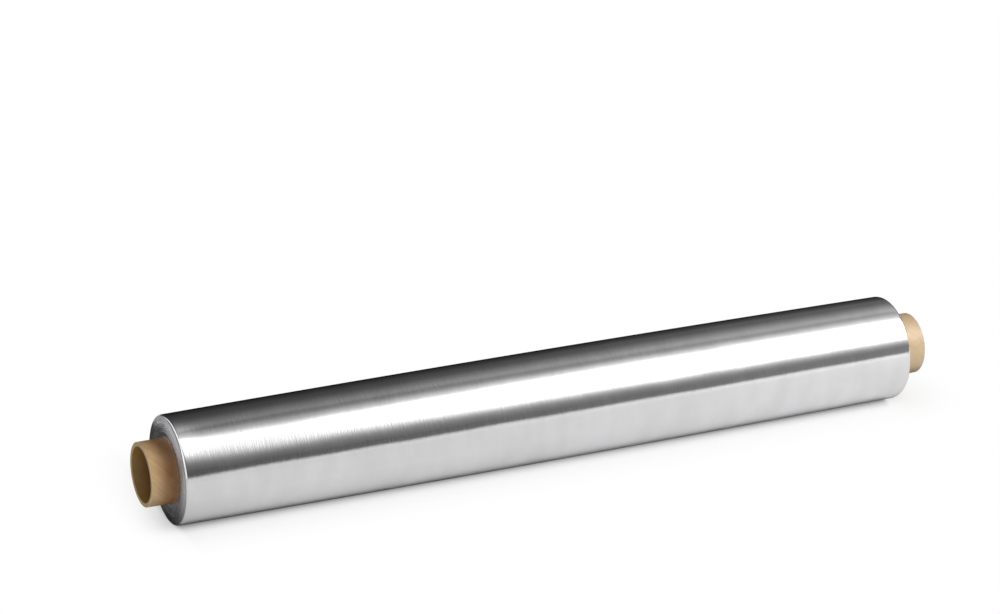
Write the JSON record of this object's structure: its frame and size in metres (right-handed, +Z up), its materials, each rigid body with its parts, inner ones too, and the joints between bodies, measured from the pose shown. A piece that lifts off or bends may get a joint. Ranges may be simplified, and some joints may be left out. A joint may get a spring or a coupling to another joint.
{
  "type": "aluminium foil roll",
  "caption": "Roll of aluminium foil wound on a spiral-wound cardboard core that stands out at both ends, lying on a small flat spot.",
  "frame": {"origin": "on the surface that the roll rests on, under the middle of the core's length", "axes": "+X along the core towards the end with the longer bare stub, +Y towards the side with the sheet's free edge, +Z up"},
  "size_m": [0.4824, 0.0633, 0.0625],
  "materials": {
    "foil": "bright rolled foil",
    "core_board": "plain brown spiral-wound board"
  },
  "bodies": {
    "root": {"foil_winding": "foil", "cardboard_core": "core_board"}
  },
  "joints": []
}
